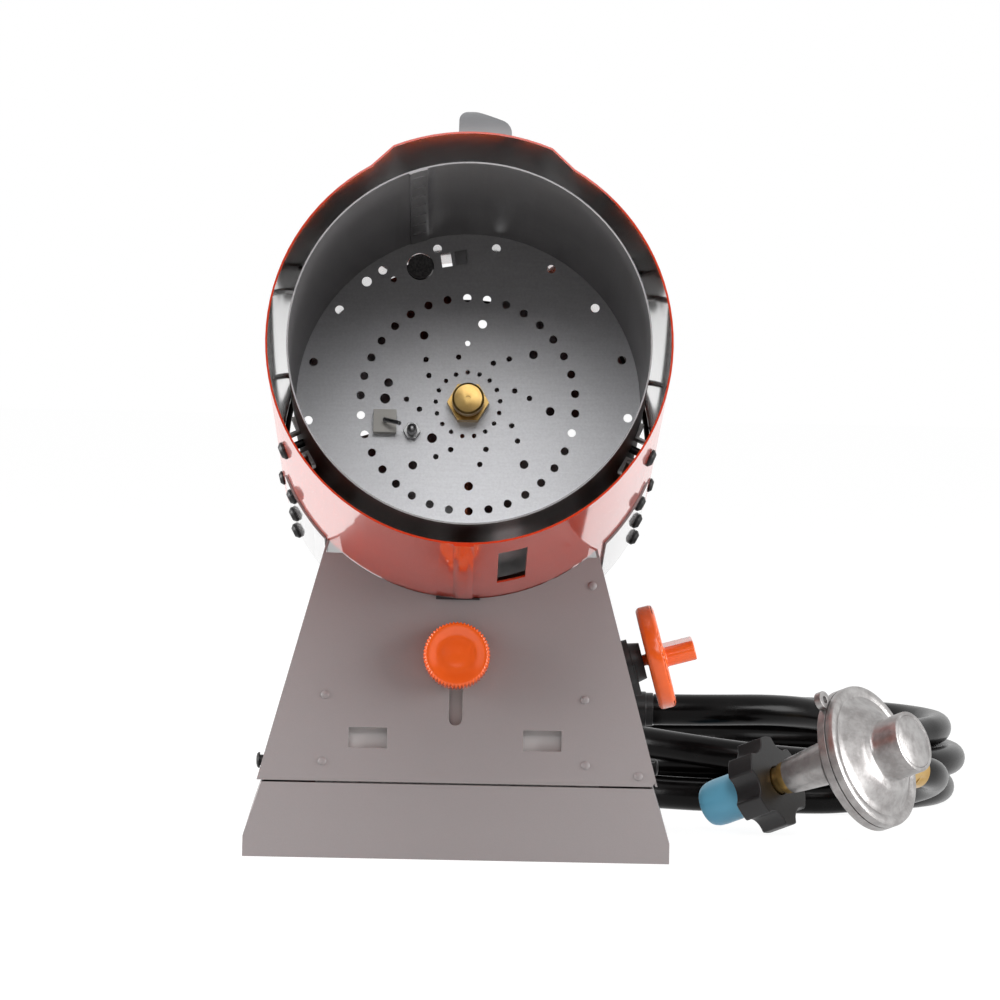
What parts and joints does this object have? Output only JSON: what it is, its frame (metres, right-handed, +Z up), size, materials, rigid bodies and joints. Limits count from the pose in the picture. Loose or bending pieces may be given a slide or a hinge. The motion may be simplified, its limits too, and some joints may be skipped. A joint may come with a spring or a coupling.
{
  "type": "portable propane heater",
  "caption": "Portable forced-air gas heater: drum with burner and fan on a tilting pedestal and base, with gas knob, igniter, supply hose and regulator.",
  "frame": {"origin": "centre of the base's footprint, on the floor", "axes": "+Z up, the hot-air outlet faces -Y, +X is the gas-knob side"},
  "size_m": [0.3988, 0.7413, 0.3896],
  "materials": {
    "drum_paint": "gloss red-orange enamel",
    "panel_paint": "satin warm grey enamel",
    "galvanised": "galvanised sheet",
    "zinc_plate": "zinc plated",
    "blackened": "black oxide",
    "knob_plastic": "moulded orange plastic",
    "handle_plastic": "moulded grey plastic",
    "black_plastic": "moulded black plastic",
    "button_plastic": "moulded red plastic",
    "brass_metal": "turned brass",
    "copper_pipe": "drawn copper tube",
    "fan_metal": "pressed sheet",
    "ceramic": "glazed ceramic",
    "hose_rubber": "smooth black rubber",
    "cast_alloy": "die cast",
    "cap_plastic": "moulded light blue plastic"
  },
  "bodies": {
    "base": {"base_tray": "panel_paint", "tilt_plate": "galvanised", "tilt_stud": "zinc_plate", "pivot_screws": "blackened", "hose_run": "hose_rubber", "hose_coil": "hose_rubber", "hose_tail": "hose_rubber", "outlet_fitting": "brass_metal", "regulator_body": "cast_alloy", "regulator_bonnet": "cast_alloy", "vent_lug": "cast_alloy", "inlet_nipple": "brass_metal"},
    "heater": {"front_panel": "panel_paint", "left_side_panel": "panel_paint", "right_side_panel": "panel_paint", "rear_panel": "panel_paint", "panel_rivets": "panel_paint", "drum_shell": "drum_paint", "drum_edge_guard": "black_plastic", "saddle_bolts": "blackened", "handle": "handle_plastic", "handle_screws": "zinc_plate", "combustion_chamber": "galvanised", "burner_disc": "galvanised", "chamber_spacers": "galvanised", "spacer_bolts": "blackened", "burner_nozzle": "brass_metal", "manifold_pipe": "copper_pipe", "electrode_ceramic": "ceramic", "electrode_rod": "zinc_plate", "flame_sensor": "zinc_plate", "limit_switch": "zinc_plate", "motor_bracket": "galvanised", "bracket_screws": "blackened", "fan_motor": "zinc_plate", "rear_guard": "blackened", "gas_valve": "brass_metal", "valve_collar": "black_plastic", "safety_valve": "brass_metal", "igniter_body": "black_plastic", "supply_pipe": "copper_pipe", "inlet_fitting": "brass_metal", "cord_gland": "black_plastic", "hose_ferrule": "blackened"},
    "tilt_knob_turn": {"tilt_knob": "knob_plastic"},
    "fan": {"fan_blade": "fan_metal", "fan_shaft": "zinc_plate"},
    "gas_knob_turn": {"gas_knob": "knob_plastic"},
    "safety_push": {"safety_button": "button_plastic"},
    "igniter_push": {"igniter_button": "button_plastic"},
    "wheel": {"handwheel": "black_plastic"},
    "cap": {"dust_cap": "cap_plastic"}
  },
  "joints": [
    {"name": "body_tilt", "type": "hinge", "parent": "base", "child": "heater", "pos_m": [0, 0.098, 0.033], "axis": [-1, 0, 0], "range_deg": [0, 8.8]},
    {"name": "tilt_knob_screw", "type": "hinge", "parent": "base", "child": "tilt_knob_turn", "pos_m": [-0.0015, -0.09468, 0.104], "axis": [0, -0.9781, 0.2079], "range_deg": [0, 270]},
    {"name": "gas_knob_turn", "type": "hinge", "parent": "heater", "child": "gas_knob_turn", "pos_m": [0.08845, -0.045, 0.099], "axis": [0.9646, 0, 0.2639], "range_deg": [0, 270]},
    {"name": "safety_press", "type": "slide", "parent": "heater", "child": "safety_push", "axis": [0, -0.9781, -0.2079], "range_m": [0, 0.006], "stiffness_N_per_m": 500},
    {"name": "igniter_press", "type": "slide", "parent": "heater", "child": "igniter_push", "axis": [0, -0.9781, -0.2079], "range_m": [0, 0.006], "stiffness_N_per_m": 500},
    {"name": "fan_spin", "type": "hinge", "parent": "heater", "child": "fan", "pos_m": [0.0018, 0.00335, 0.22236], "axis": [0, -0.9848, 0.1736], "continuous": true},
    {"name": "handwheel_turn", "type": "hinge", "parent": "base", "child": "wheel", "pos_m": [0.16869, 0.0721, 0.02699], "axis": [-0.784, 0.5091, -0.3551], "continuous": true},
    {"name": "dust_cap_pull", "type": "slide", "parent": "base", "child": "cap", "axis": [-0.784, 0.5091, -0.3551], "range_m": [0, 0.008]}
  ]
}
